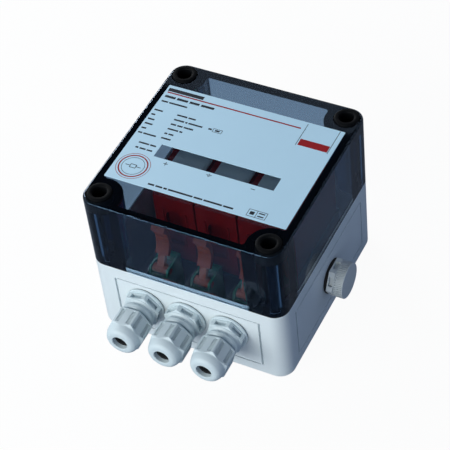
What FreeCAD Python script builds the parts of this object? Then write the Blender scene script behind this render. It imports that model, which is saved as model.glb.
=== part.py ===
import FreeCAD, Part
import math
import os

vec = FreeCAD.Vector

# A square wall box with a deep see-through lid. The origin is the middle of the
# box's underside, +Z points up to the lid and -Y is the side with the cable glands.

# Box
box_size = 94.0
corner_radius = 7.0
base_height = 40.3
lid_top = 78.8
wall = 3.4
floor_thickness = 3.0
foot_round = 0.9
lid_roof = 2.2
lid_taper = 0.6
lid_edge_round = 1.2

# Corner posts, which carry the lid screws outside the seal. Each screw has a wide hollow
# head that sits in a counterbore and stands a little above the lid.
post_inset = 7.2
post_radius = 9.5
post_flare = 2.0
screw_head_radius = 5.6
screw_head_height = 7.5
screw_head_rise = 1.0
screw_head_round = 0.9
screw_head_gap = 0.3
screw_socket_radius = 3.2
screw_socket_depth = 5.5
screw_shank_radius = 2.0
screw_shank_gap = 0.05
screw_lid_gap = 0.3
screw_grip = 14.0
screw_cross_length = 3.8
screw_cross_width = 0.9
screw_cross_depth = 1.2
screw_tip_length = 1.8
screw_hole_spare = 2.0
post_pocket_radius = 4.8
post_pocket_depth = 15.0

# Joint between base and lid: a land, a groove with the seal, and an inner lip
land_width = 1.0
groove_width = 1.4
groove_depth = 1.7
lip_height = 1.7
joint_gap = 0.2
tongue_length = 0.4
seal_gap = 0.05

# Outline of the thin panels in the side walls
panel_inset = 12.0
panel_low = 5.8
panel_high = 33.8
panel_slot_width = 1.0
panel_slot_depth = 0.9
panel_line_width = 0.4
panel_line_depth = 0.4

# Wall fixing holes in the floor, by their distance from the box's sides
fixing_side_inset = 7.0
fixing_end_inset = 25.0
fixing_hole_radius = 2.2
fixing_collar_radius = 4.0
fixing_collar_height = 4.0

# Label on the lid, by its distance from the box's sides
label_thickness = 0.2
label_side_inset = 4.0
label_front_inset = 17.0
label_back_inset = 15.7
label_corner = 0.8
window_left_inset = 18.6
window_right_inset = 18.1
window_front = -11.8
window_back = -3.95

# Cable glands, measured outwards from the wall along each gland's own axis. The row's
# spacing follows from the posts, its hexagons are gland_hex across unless the spacing
# leaves them less room, and each gland's radii follow from its hexagon.
gland_count = 3
gland_post_gap = 9.8
gland_row_middle = -0.6
gland_height = 22.5
gland_hex = 16.0
gland_hex_between = 4.5
gland_hex_turns = (15.0, -18.0, 13.0)
nut_hex_turns = (5.0, 16.0, 14.0)
wall_hole_gap = 0.2
spigot_step = 2.0
spigot_wall = 1.7
spigot_inside = 7.6
gland_washer_rim = 1.0
gland_washer_thickness = 0.4
flange_rim = 1.4
flange_thickness = 1.0
gland_hex_length = 3.8
hex_chamfer = 0.5
hex_pocket_width = 5.6
hex_pocket_length = 2.3
hex_pocket_depth = 1.2
hex_core_gap = 0.3
neck_length = 4.4
neck_step = 0.1
neck_end_step = 0.4
thread_step = 1.7
thread_length = 9.4
claw_slot_width = 0.9
claw_length = 5.0
claw_count = 8
claw_wall = 1.0
nut_gap = 1.4
nut_hex_length = 9.2
nut_hex_chamfer = 0.9
grip_band_place = 2.6
grip_band_width = 1.9
grip_band_depth = 0.2
grip_band_start = 0.8
grip_band_length = 7.2
dome_length = 4.4
dome_face_step = 2.6
dome_mouth_step = 4.4
dome_mouth_length = 2.2
nut_thread_gap = 0.3
seal_bore_step = 4.75
seal_length = 11.2
seal_side_gap = 0.1
lock_nut_step = 0.5
lock_nut_thickness = 3.5
lock_nut_gap = 0.05
lock_nut_turn = 30.0

# Vent plug in the right wall
vent_y = 0.6
vent_height = 19.8
vent_seal_rim = 0.3
vent_seal_thickness = 1.5
vent_hex_length = 3.2
vent_hex_turn = 0.0
vent_pocket_width = 4.4
vent_pocket_length = 2.0
vent_spigot_inside = 5.0
vent_neck_step = 1.6
vent_neck_length = 2.4
vent_cap_rim = 0.4
vent_cap_length = 4.3
vent_cap_roof = 1.2
vent_cap_gap = 0.05
vent_cap_edge = 0.4
vent_knurl_count = 54
vent_knurl_depth = 0.25
vent_knurl_slant = 32.0
vent_membrane_thickness = 0.3

# Circuit board, by its distance from the inside of the walls
board_bottom = 18.0
board_thickness = 1.6
board_left_gap = 12.6
board_right_gap = 8.2
board_front_gap = 9.6
board_back_gap = 6.6
board_post_gap = 0.9
board_screw_front = 5.5
board_screw_back = 6.0
board_screw_front_left = 3.5
board_screw_front_right = 3.0
board_screw_back_left = 6.0
board_screw_back_right = 11.4
board_boss_radius = 3.0
board_screw_radius = 1.25
board_screw_gap = 0.1
board_screw_head_radius = 2.4
board_screw_head_height = 1.7
board_screw_length = 9.0

# Plug-in modules in their socket, by their distance from the inside of the walls and of the roof
module_count = 3
module_left_gap = 20.0
module_right_gap = 6.9
module_between = 0.9
module_end_gap = 19.1
module_roof_gap = 1.3
module_nose_height = 5.3
module_nose_front = 9.5
module_nose_back = 11.5
module_nose_slope = 1.6
module_nose_round = 3.0
module_edge = 1.2
module_grip_width = 9.0
module_grip_depth = 2.0
module_grip_length = 16.0
module_grip_drop = 9.0
module_rib_width = 0.7
module_rib_height = 0.5
module_rib_place = 5.5
plate_bar = 2.8
plate_margin = 0.9
plate_front_margin = 2.0
plate_back_margin = 2.5
plate_thickness = 0.25
blade_length = 10.0
blade_thickness = 1.0
blade_depth = 6.5
blade_slot_gap = 0.2
socket_height = 10.4
socket_side = 0.8
socket_end = 1.5
socket_wall_height = 6.0
socket_rib_gap = 0.15

# Terminal blocks with their levers, in height above the board
terminal_width = 9.3
terminal_depth = 13.2
terminal_post_gap = 0.45
terminal_wall_gap = 3.6
terminal_cheek = 1.0
terminal_nose = 6.4
terminal_overhang = 12.0
terminal_height = 22.2
terminal_sill = 18.0
terminal_front_wall = 1.6
terminal_chamber_floor = 13.4
terminal_nose_drop = 3.0
wire_entry_width = 3.6
wire_entry_height = 3.2
wire_entry_rise = 0.2
pivot_depth = 3.6
pivot_drop = 2.4
pivot_radius = 1.4
pivot_gap = 0.05
lever_width = 6.3
lever_thickness = 2.2
lever_grip_radius = 11.8
lever_grip_forward = 6.2
lever_grip_up = 14.8
lever_grip_low_angle = -42.0
lever_grip_high_angle = 46.0
lever_arm_width = 3.2
lever_hub_radius = 2.1
lever_toe_reach = 3.3
lever_ridge_angles = (-8.0, 6.0, 20.0, 34.0)
lever_ridge_radius = 0.35
clamp_width = 5.0
clamp_strip = 0.6
clamp_height = 3.9
clamp_front_gap = 0.3
clamp_drop = 1.0

# Places worked out from the sizes above
half_box = box_size / 2
inside_half = half_box - wall
post_place = half_box - post_inset
screw_top = lid_top + screw_head_rise
screw_seat = screw_top - screw_head_height
screw_bottom = base_height - screw_grip
lid_inside_top = lid_top - lid_roof
panel_half = half_box - panel_inset
fixing_x = half_box - fixing_side_inset
fixing_y = half_box - fixing_end_inset
label_half_width = half_box - label_side_inset
label_front = label_front_inset - half_box
label_back = half_box - label_back_inset
window_left = window_left_inset - half_box
window_right = half_box - window_right_inset
board_top = board_bottom + board_thickness
board_left = board_left_gap - inside_half
board_right = inside_half - board_right_gap
board_front = board_front_gap - inside_half
board_back = inside_half - board_back_gap
board_screw_places = (
    (board_left + board_screw_front_left, board_front + board_screw_front),
    (board_right - board_screw_front_right, board_front + board_screw_front),
    (board_left + board_screw_back_left, board_back - board_screw_back),
    (board_right - board_screw_back_right, board_back - board_screw_back),
)
module_left = module_left_gap - inside_half
module_row = inside_half - module_right_gap - module_left
module_pitch = (module_row + module_between) / module_count
module_width = module_pitch - module_between
module_front = module_end_gap - inside_half
module_low = board_top + socket_height
module_nose_top = lid_inside_top - module_roof_gap
module_shoulder = module_nose_top - module_nose_height
module_grip_high = module_shoulder - module_grip_drop
module_lefts = [module_left + module_pitch * number for number in range(module_count)]
nose_front = module_front + module_nose_front
nose_back = -module_front - module_nose_back
blade_place = -module_front * 4 / 7
terminal_front = terminal_wall_gap - inside_half
terminal_back = terminal_front + terminal_depth
terminal_top = board_top + terminal_height
terminal_last = post_place - post_radius - terminal_post_gap - terminal_width / 2
terminal_middles = [terminal_last - module_pitch * number for number in reversed(range(module_count))]
chamber_floor = board_top + terminal_chamber_floor
chamber_back = terminal_back - terminal_front_wall
pivot_y = terminal_front + pivot_depth
pivot_z = terminal_top - pivot_drop
gland_spacing = post_place - post_radius - gland_post_gap
first_gland = gland_row_middle - gland_spacing * (gland_count - 1) / 2
gland_places = [first_gland + gland_spacing * number for number in range(gland_count)]
hex_flats = min(gland_hex, gland_spacing - gland_hex_between)
half_hex = hex_flats / 2
spigot_radius = half_hex - spigot_step
gland_bore_radius = spigot_radius - spigot_wall
gland_washer_radius = half_hex + gland_washer_rim
flange_radius = half_hex + flange_rim
neck_radius = half_hex - neck_step
neck_end_radius = half_hex - neck_end_step
thread_radius = half_hex - thread_step
dome_face_radius = half_hex - dome_face_step
dome_mouth_radius = half_hex - dome_mouth_step
seal_bore_radius = half_hex - seal_bore_step
half_lock_nut = half_hex - lock_nut_step
hex_core_radius = half_hex - hex_pocket_depth - hex_core_gap
vent_seal_radius = half_hex + vent_seal_rim
vent_neck_radius = half_hex - vent_neck_step
vent_bore_radius = spigot_radius / 2
vent_cap_radius = half_hex + vent_cap_rim
flange_start = gland_washer_thickness
gland_hex_start = flange_start + flange_thickness
neck_start = gland_hex_start + gland_hex_length
thread_start = neck_start + neck_length
thread_end = thread_start + thread_length
nut_start = thread_start + nut_gap
nut_hex_end = nut_start + nut_hex_length
dome_end = nut_hex_end + dome_length


def save(name, shape):
    """Write one piece as parts/NAME.step."""
    shape.exportStep("parts/%s.step" % name)


def block(left, right, front, back, low, high):
    """A plain block between six planes."""
    return Part.makeBox(right - left, back - front, high - low, vec(left, front, low))


def rod(radius, low, high, x=0.0, y=0.0):
    """An upright cylinder."""
    return Part.makeCylinder(radius, high - low, vec(x, y, low))


def turned(outline):
    """A solid turned about Z from (radius, height) points."""
    points = [vec(radius, 0, height) for radius, height in outline]
    face = Part.Face(Part.makePolygon(points + points[:1]))
    return face.revolve(vec(0, 0, 0), vec(0, 0, 1), 360)


def side_slab(outline, left, right):
    """A slab with a (y, z) outline, from x = left to x = right."""
    points = [vec(left, y, z) for y, z in outline]
    face = Part.Face(Part.makePolygon(points + points[:1]))
    return face.extrude(vec(right - left, 0, 0))


def hexagon(flats, turn, low, high):
    """A hexagonal prism with its first corner at the angle turn."""
    reach = flats / 2 / math.cos(math.pi / 6)
    points = []
    for corner in range(7):
        angle = math.radians(turn + 60 * corner)
        points.append(vec(reach * math.cos(angle), reach * math.sin(angle), low))
    return Part.Face(Part.makePolygon(points)).extrude(vec(0, 0, high - low))


def rounded_rectangle(left, right, front, back, radius, z):
    """A flat wire with four rounded corners."""
    diagonal = radius * (1 - math.sqrt(0.5))
    corners = (
        (left, front, 1, 1),
        (right, front, -1, 1),
        (right, back, -1, -1),
        (left, back, 1, -1),
    )
    arcs = []
    for number, (x, y, to_middle_x, to_middle_y) in enumerate(corners):
        along_x = vec(x + to_middle_x * radius, y, z)
        along_y = vec(x, y + to_middle_y * radius, z)
        middle = vec(x + to_middle_x * diagonal, y + to_middle_y * diagonal, z)
        first, last = (along_y, along_x) if number % 2 == 0 else (along_x, along_y)
        arcs.append((first, middle, last))
    edges = []
    for number, (first, middle, last) in enumerate(arcs):
        edges.append(Part.Arc(first, middle, last).toShape())
        edges.append(Part.makeLine(last, arcs[(number + 1) % 4][0]))
    return Part.Wire(edges)


def box_outline(z):
    """The outside of the box, seen from above."""
    return rounded_rectangle(-half_box, half_box, -half_box, half_box, corner_radius, z)


def sealed_outline(inset, z):
    """The line that keeps one distance from the walls and bends round the four posts."""
    half = half_box - inset
    around_post = post_radius + inset - wall
    flare = post_flare + wall - inset
    to_wall = half - post_place
    centre = vec(-math.sqrt((around_post + flare) ** 2 - (to_wall - flare) ** 2), to_wall - flare, 0)
    start = vec(centre.x, to_wall, 0)
    touch = centre * (around_post / (around_post + flare))
    bisector = (start - centre) + (touch - centre)
    bend = centre + bisector * (flare / bisector.Length)
    nearest = vec(-around_post * math.sqrt(0.5), -around_post * math.sqrt(0.5), 0)
    first_half = [start, bend, touch]
    second_half = [vec(point.y, point.x, 0) for point in reversed(first_half)]
    corner = [point + vec(post_place, post_place, z) for point in first_half + [nearest] + second_half]
    edges = []
    for quarter in range(4):
        turn = FreeCAD.Rotation(vec(0, 0, 1), -90 * quarter)
        next_turn = FreeCAD.Rotation(vec(0, 0, 1), -90 * (quarter + 1))
        a, b, c, d, e, f, g = [turn.multVec(point) for point in corner]
        edges.append(Part.Arc(a, b, c).toShape())
        edges.append(Part.Arc(c, d, e).toShape())
        edges.append(Part.Arc(e, f, g).toShape())
        edges.append(Part.makeLine(g, next_turn.multVec(corner[0])))
    return Part.Wire(edges)


def filled(wire, height):
    """An upright solid over a flat wire."""
    return Part.Face(wire).extrude(vec(0, 0, height))


def sealed_ring(outer_inset, inner_inset, low, high):
    """A ring that follows the sealed outline between two distances from the wall."""
    outer = filled(sealed_outline(outer_inset, low), high - low)
    return outer.cut(filled(sealed_outline(inner_inset, low), high - low))


def edges_at(shape, z, reach=0.01):
    """The edges of a shape that lie flat at one height."""
    found = []
    for edge in shape.Edges:
        if abs(edge.BoundBox.ZMin - z) < reach and abs(edge.BoundBox.ZMax - z) < reach:
            found.append(edge)
    return found


def at_posts(shape):
    """The shape once on each corner post's axis."""
    copies = []
    for x in (-post_place, post_place):
        for y in (-post_place, post_place):
            copies.append(shape.translated(vec(x, y, 0)))
    return copies


def to_front_wall(shape, x):
    """Turn a piece made along +Z so that it points out of the front wall at a gland's place."""
    place = FreeCAD.Placement(vec(x, -half_box, gland_height), FreeCAD.Rotation(vec(1, 0, 0), 90))
    return shape.transformed(place.toMatrix())


def to_right_wall(shape):
    """Turn a piece made along +Z so that it points out of the right wall at the vent's place."""
    place = FreeCAD.Placement(vec(half_box, vent_y, vent_height), FreeCAD.Rotation(vec(1, 1, 1), 120))
    return shape.transformed(place.toMatrix())


def panel_marks():
    """Cutters for the panel outline on the front wall: two upright slots joined by fine lines."""
    slot_half = panel_slot_width / 2
    line_half = panel_line_width / 2
    cutters = []
    for x in (-panel_half, panel_half):
        slot = rounded_rectangle(x - slot_half, x + slot_half, panel_low, panel_high, slot_half * 0.98, 0)
        cutters.append(filled(slot, 2 * panel_slot_depth).translated(vec(0, 0, -panel_slot_depth)))
    for z in (panel_low, panel_high):
        low, high = z - line_half, z + line_half
        cutters.append(block(-panel_half, panel_half, low, high, -panel_line_depth, panel_line_depth))
    place = FreeCAD.Placement(vec(0, -half_box, 0), FreeCAD.Rotation(vec(1, 0, 0), 90))
    return [cutter.transformed(place.toMatrix()) for cutter in cutters]


def make_base():
    """The lower half: walls, floor, posts, rim with groove and lip, bosses and holes."""
    shape = filled(box_outline(0), base_height)
    shape = shape.makeFillet(foot_round, edges_at(shape, 0))
    shape = shape.fuse(filled(sealed_outline(wall - lip_width(), base_height - 1), lip_height + 1))
    shape = shape.cut(filled(sealed_outline(wall, floor_thickness), base_height + lip_height))
    groove_low = base_height - groove_depth
    shape = shape.cut(sealed_ring(land_width, land_width + groove_width, groove_low, base_height))
    for x, y in board_screw_places:
        shape = shape.fuse(rod(board_boss_radius, floor_thickness / 2, board_bottom, x, y))
    collar_high = floor_thickness + fixing_collar_height
    for x in (-fixing_x, fixing_x):
        for y in (-fixing_y, fixing_y):
            shape = shape.fuse(rod(fixing_collar_radius, floor_thickness / 2, collar_high, x, y))
    cutters = []
    board_hole = board_screw_radius + screw_shank_gap
    for x, y in board_screw_places:
        cutters.append(rod(board_hole, board_bottom - board_screw_length, board_bottom, x, y))
    for x in (-fixing_x, fixing_x):
        for y in (-fixing_y, fixing_y):
            cutters.append(rod(fixing_hole_radius, 0, collar_high, x, y))
    lid_screw_hole = screw_shank_radius + screw_shank_gap
    cutters += at_posts(rod(lid_screw_hole, screw_bottom - screw_hole_spare, base_height))
    cutters += at_posts(rod(post_pocket_radius, 0, post_pocket_depth))
    for x in gland_places:
        cutters.append(to_front_wall(rod(spigot_radius + wall_hole_gap, -2 * wall, wall), x))
    cutters.append(to_right_wall(rod(spigot_radius + wall_hole_gap, -2 * wall, wall)))
    for quarter in range(4):
        for mark in panel_marks():
            cutters.append(mark.rotated(vec(0, 0, 0), vec(0, 0, 1), 90 * quarter))
    return shape.cut(cutters)


def lip_width():
    """What the wall leaves for the lip beside the land and the groove."""
    return wall - land_width - groove_width


def make_lid_seal():
    """The seal lies in the groove, under the lid's tongue."""
    outer = land_width + seal_gap
    inner = land_width + groove_width - seal_gap
    return sealed_ring(outer, inner, base_height - groove_depth, base_height - tongue_length)


def make_lid():
    """The upper half: deep walls that thicken upwards, and solid columns for the screws."""
    shape = filled(box_outline(base_height), lid_top - base_height)
    shape = shape.makeFillet(lid_edge_round, edges_at(shape, lid_top))
    hollow = Part.makeLoft(
        [sealed_outline(wall, base_height), sealed_outline(wall + lid_taper, lid_inside_top)], True, True
    )
    rebate = filled(sealed_outline(wall - lip_width() - joint_gap, base_height), lip_height + joint_gap)
    shape = shape.cut([hollow, rebate])
    tongue_outer = land_width + joint_gap
    tongue_inner = land_width + groove_width - joint_gap
    shape = shape.fuse(sealed_ring(tongue_outer, tongue_inner, base_height - tongue_length, base_height))
    cutters = at_posts(rod(screw_head_radius + screw_head_gap, screw_seat, lid_top))
    cutters += at_posts(rod(screw_shank_radius + screw_lid_gap, base_height, screw_seat))
    return shape.cut(cutters)


def make_label():
    """The printed sheet on the roof, with its long window."""
    half = label_half_width
    sheet = rounded_rectangle(-half, half, label_front, label_back, label_corner, lid_top)
    window = block(window_left, window_right, window_front, window_back, lid_top, lid_top + label_thickness)
    return filled(sheet, label_thickness).cut(window)


def make_lid_screw():
    """A long screw with a wide head: a deep round socket and a cross recess in its floor."""
    socket_floor = screw_top - screw_socket_depth
    shape = turned((
        (0, screw_bottom),
        (screw_shank_radius / 3, screw_bottom),
        (screw_shank_radius, screw_bottom + screw_tip_length),
        (screw_shank_radius, screw_seat),
        (screw_head_radius, screw_seat),
        (screw_head_radius, screw_top),
        (screw_socket_radius, screw_top),
        (screw_socket_radius, socket_floor),
        (0, socket_floor),
    ))
    shape = shape.makeFillet(screw_head_round, edges_at(shape, screw_top))
    long_half = screw_cross_length / 2
    short_half = screw_cross_width / 2
    low = socket_floor - screw_cross_depth
    bar = block(-long_half, long_half, -short_half, short_half, low, socket_floor)
    cross_bar = block(-short_half, short_half, -long_half, long_half, low, socket_floor)
    return shape.cut(bar.fuse(cross_bar))


def hex_pockets(turn, low, high, width, length):
    """Cutters for the shallow pocket in each flat of a hexagonal collar."""
    pocket_low = (low + high - length) / 2
    pocket_high = pocket_low + length
    half_width = width / 2
    depth = half_hex - hex_pocket_depth
    cutters = []
    for side in range(6):
        pocket = block(depth, hex_flats, -half_width, half_width, pocket_low, pocket_high)
        cutters.append(pocket.rotated(vec(0, 0, 0), vec(0, 0, 1), turn + 30 + 60 * side))
    return cutters


def hex_collar(turn, low, high, pocket_width, pocket_length):
    """A hexagonal collar with turned-off corners at its outer end and a pocket in each flat."""
    corner = half_hex / math.cos(math.pi / 6)
    limit = turned((
        (0, low),
        (corner, low),
        (corner, high - hex_chamfer),
        (half_hex - hex_chamfer / 2, high),
        (0, high),
    ))
    shape = hexagon(hex_flats, turn, low, high).common(limit)
    return shape.cut(hex_pockets(turn, low, high, pocket_width, pocket_length))


def make_gland_washer():
    """A thin flat seal between the wall and the gland's flange."""
    ring = rod(gland_washer_radius, 0, gland_washer_thickness)
    return ring.cut(rod(spigot_radius + wall_hole_gap, 0, gland_washer_thickness))


def make_gland_body(turn):
    """Spigot, flange, hexagonal collar, neck, and a threaded stub that ends in claws."""
    claw_start = thread_end - claw_length
    claw_bore = thread_radius - claw_wall
    shape = turned((
        (0, -wall - spigot_inside),
        (spigot_radius, -wall - spigot_inside),
        (spigot_radius, flange_start),
        (flange_radius, flange_start),
        (flange_radius, gland_hex_start),
        (hex_core_radius, gland_hex_start),
        (hex_core_radius, neck_start - hex_chamfer),
        (neck_radius, neck_start - hex_chamfer),
        (neck_radius, neck_start + neck_length / 3),
        (neck_end_radius, thread_start - neck_length / 8),
        (neck_end_radius - neck_length / 8, thread_start),
        (thread_radius, thread_start),
        (thread_radius, thread_end),
        (0, thread_end),
    ))
    shape = shape.fuse(hex_collar(turn, gland_hex_start, neck_start, hex_pocket_width, hex_pocket_length))
    bore = turned((
        (0, -wall - spigot_inside),
        (gland_bore_radius, -wall - spigot_inside),
        (gland_bore_radius, seal_start()),
        (claw_bore, seal_start()),
        (claw_bore, thread_end),
        (0, thread_end),
    ))
    shape = shape.cut(bore)
    half_slot = claw_slot_width / 2
    slots = []
    for number in range(claw_count // 2):
        slot = block(-thread_radius, thread_radius, -half_slot, half_slot, claw_start, thread_end)
        slots.append(slot.rotated(vec(0, 0, 0), vec(0, 0, 1), 360 * number / claw_count))
    return shape.cut(slots)


def seal_start():
    """The seal insert seats on a step inside the neck, just behind the claws."""
    return thread_end - seal_length + dome_length / 2


def make_gland_seal():
    """A rubber sleeve inside the claws, with a cone that the dome presses on."""
    outer = thread_radius - claw_wall - seal_side_gap
    nose = dome_end - dome_mouth_length - nut_thread_gap
    nose_radius = dome_mouth_radius + claw_wall / 2
    shape = turned((
        (seal_bore_radius, seal_start()),
        (outer, seal_start()),
        (outer, thread_end),
        (nose_radius, nose),
        (seal_bore_radius, nose),
    ))
    return shape


def grip_bands(turn):
    """Cutters for the two shallow grip bands in each flat of a dome nut."""
    low = nut_start + grip_band_start
    high = low + grip_band_length
    half_width = grip_band_width / 2
    depth = half_hex - grip_band_depth
    cutters = []
    for side in range(6):
        for place in (-grip_band_place, grip_band_place):
            band = block(depth, hex_flats, place - half_width, place + half_width, low, high)
            cutters.append(band.rotated(vec(0, 0, 0), vec(0, 0, 1), turn + 30 + 60 * side))
    return cutters


def make_dome_nut(turn):
    """A hexagonal nut with a domed end, bored for the thread and opened at the mouth."""
    corner = half_hex / math.cos(math.pi / 6)
    points = [
        vec(0, 0, nut_start),
        vec(corner - hex_chamfer, 0, nut_start),
        vec(corner, 0, nut_start + hex_chamfer),
        vec(corner, 0, nut_hex_end - nut_hex_chamfer),
        vec(half_hex, 0, nut_hex_end),
    ]
    edges = [Part.makeLine(first, last) for first, last in zip(points, points[1:])]
    crown = vec(dome_face_radius, 0, dome_end)
    bulge = vec(
        dome_face_radius + (half_hex - dome_face_radius) * 0.82,
        0,
        nut_hex_end + dome_length * 0.56,
    )
    edges.append(Part.Arc(points[-1], bulge, crown).toShape())
    edges.append(Part.makeLine(crown, vec(0, 0, dome_end)))
    edges.append(Part.makeLine(vec(0, 0, dome_end), points[0]))
    envelope = Part.Face(Part.Wire(edges)).revolve(vec(0, 0, 0), vec(0, 0, 1), 360)
    shape = hexagon(hex_flats, turn, nut_start, dome_end).common(envelope)
    inside = thread_radius + nut_thread_gap
    cone_start = thread_end + nut_thread_gap
    mouth_start = dome_end - dome_mouth_length
    hollow = turned((
        (0, nut_start),
        (inside, nut_start),
        (inside, cone_start),
        (dome_mouth_radius + claw_wall, mouth_start),
        (dome_mouth_radius, mouth_start),
        (dome_mouth_radius, dome_end),
        (0, dome_end),
    ))
    return shape.cut([hollow] + grip_bands(turn))


def make_lock_nut(turn):
    """The nut on a spigot, seated against the inside of the wall, with both ends turned off."""
    top = -wall
    low = top - lock_nut_thickness
    corner = half_lock_nut / math.cos(math.pi / 6)
    seat = half_lock_nut - hex_chamfer / 2
    limit = turned((
        (0, low),
        (seat, low),
        (corner, low + hex_chamfer),
        (corner, top - hex_chamfer),
        (seat, top),
        (0, top),
    ))
    shape = hexagon(2 * half_lock_nut, turn, low, top).common(limit)
    return shape.cut(rod(spigot_radius + lock_nut_gap, low, top))


def make_vent_seal():
    """The black ring under the vent's hexagon."""
    ring = rod(vent_seal_radius, 0, vent_seal_thickness)
    ring = ring.makeFillet(vent_seal_thickness / 4, edges_at(ring, 0) + edges_at(ring, vent_seal_thickness))
    return ring.cut(rod(spigot_radius + wall_hole_gap, 0, vent_seal_thickness))


def make_vent_body():
    """Spigot, hexagon and the neck that carries the membrane and the cap."""
    hex_end = vent_seal_thickness + vent_hex_length
    neck_top = hex_end + vent_neck_length
    low = -wall - vent_spigot_inside
    shape = rod(spigot_radius, low, vent_seal_thickness)
    collar = hex_collar(vent_hex_turn, vent_seal_thickness, hex_end, vent_pocket_width, vent_pocket_length)
    shape = shape.fuse(collar)
    shape = shape.fuse(rod(vent_neck_radius, hex_end, neck_top))
    return shape.cut(rod(vent_bore_radius, low, neck_top))


def make_vent_membrane():
    """A thin disc over the vent's bore."""
    low = vent_seal_thickness + vent_hex_length + vent_neck_length
    return rod((vent_bore_radius + vent_neck_radius) / 2, low, low + vent_membrane_thickness)


def make_vent_cap():
    """A round cap over the neck, with slanted grip grooves round its side."""
    low = vent_seal_thickness + vent_hex_length
    high = low + vent_cap_length
    shape = rod(vent_cap_radius, low, high)
    shape = shape.makeFillet(vent_cap_edge, edges_at(shape, high))
    shape = shape.cut(rod(vent_neck_radius + vent_cap_gap, low, high - vent_cap_roof))
    grip_groove = math.pi * vent_cap_radius / vent_knurl_count
    middle = (low + high) / 2
    grooves = []
    for number in range(vent_knurl_count):
        groove = block(
            vent_cap_radius - vent_knurl_depth, vent_cap_radius + vent_knurl_depth,
            -grip_groove / 2, grip_groove / 2,
            -vent_cap_length * 0.36, vent_cap_length * 0.36,
        )
        groove = groove.rotated(vec(0, 0, 0), vec(1, 0, 0), vent_knurl_slant)
        groove = groove.translated(vec(0, 0, middle))
        grooves.append(groove.rotated(vec(0, 0, 0), vec(0, 0, 1), 360 * number / vent_knurl_count))
    return shape.cut(grooves)


def make_board():
    """The circuit board, notched round the corner posts."""
    shape = block(board_left, board_right, board_front, board_back, board_bottom, board_top)
    shape = shape.cut(at_posts(rod(post_radius + board_post_gap, board_bottom, board_top)))
    hole = board_screw_radius + board_screw_gap
    return shape.cut([rod(hole, board_bottom, board_top, x, y) for x, y in board_screw_places])


def make_board_screws():
    """The pan-head screws that hold the board on its bosses."""
    end = board_bottom - board_screw_length + board_thickness
    shape = turned((
        (0, end),
        (board_screw_radius, end),
        (board_screw_radius, board_top),
        (board_screw_head_radius, board_top),
        (board_screw_head_radius, board_top + board_screw_head_height * 0.6),
        (board_screw_head_radius * 0.6, board_top + board_screw_head_height),
        (0, board_top + board_screw_head_height),
    ))
    slot = block(
        -board_screw_head_radius, board_screw_head_radius,
        -board_screw_radius / 4, board_screw_radius / 4,
        board_top + board_screw_head_height / 2, board_top + board_screw_head_height,
    )
    shape = shape.cut(slot)
    return Part.makeCompound([shape.translated(vec(x, y, 0)) for x, y in board_screw_places])


def make_socket():
    """The block on the board that the modules plug into, with a low wall round each bay."""
    left = module_left - socket_side
    right = module_lefts[-1] + module_width + socket_side
    front = module_front - socket_end
    back = -module_front + socket_end
    high = module_low + socket_wall_height
    shape = block(left, right, front, back, board_top, high)
    slot_low = module_low - blade_depth - blade_slot_gap
    bays = []
    for bay_left in module_lefts:
        clear_left = bay_left - socket_rib_gap
        clear_right = bay_left + module_width + socket_rib_gap
        clear_front = module_front - socket_rib_gap
        bays.append(block(clear_left, clear_right, clear_front, -clear_front, module_low, high))
        middle = bay_left + module_width / 2
        half_slot = blade_length / 2 + blade_slot_gap
        half_thick = blade_thickness / 2 + blade_slot_gap
        for y in (-blade_place, blade_place):
            slot = block(-half_slot, half_slot, y - half_thick, y + half_thick, slot_low, module_low)
            bays.append(slot.translated(vec(middle, 0, 0)))
    return shape.cut(bays)


def cross_cylinder(radius, x, z, front, back):
    """A cylinder that lies along Y."""
    return Part.makeCylinder(radius, back - front, vec(x, front, z), vec(0, 1, 0))


def nose_outside(right):
    """A cutter for what lies outside the round at the right end of a module's nose."""
    bend = right - module_nose_round
    axis = module_nose_top - module_nose_round
    corner = block(bend, right + 1, nose_front, nose_back, axis, module_nose_top + 1)
    return corner.cut(cross_cylinder(module_nose_round, bend, axis, nose_front, nose_back))


def make_module(left):
    """A plug-in module: shoulders, a raised nose, a thumb recess and two upright ribs in front."""
    right = left + module_width
    middle = left + module_width / 2
    back = -module_front
    edge = module_edge
    shape = side_slab((
        (module_front, module_low),
        (module_front, module_shoulder - edge),
        (module_front + edge, module_shoulder),
        (nose_front, module_shoulder),
        (nose_front + module_nose_slope, module_nose_top),
        (nose_back - module_nose_slope, module_nose_top),
        (nose_back, module_shoulder),
        (back - edge, module_shoulder),
        (back, module_shoulder - edge),
        (back, module_low),
    ), left, right)
    sharp = []
    for edge_line in shape.Edges:
        box = edge_line.BoundBox
        if box.ZMin > module_low + 1 and box.XLength < 0.01:
            sharp.append(edge_line)
    shape = shape.makeFillet(edge / 3, sharp)
    grip_radius = module_grip_width / 2
    grip_low = module_grip_high - module_grip_length
    grip = block(
        middle - grip_radius, middle + grip_radius,
        module_front, module_front + module_grip_depth,
        grip_low, module_grip_high - grip_radius,
    )
    arch = Part.makeCylinder(
        grip_radius, module_grip_depth,
        vec(middle, module_front, module_grip_high - grip_radius), vec(0, 1, 0),
    )
    shape = shape.cut([grip, arch, nose_outside(right)])
    ribs = []
    for x in (middle - module_rib_place, middle + module_rib_place):
        ribs.append(block(
            x - module_rib_width / 2, x + module_rib_width / 2,
            module_front - module_rib_height, module_front + module_rib_height,
            grip_low, module_grip_high,
        ))
    return shape.fuse(ribs).removeSplitter()


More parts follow.
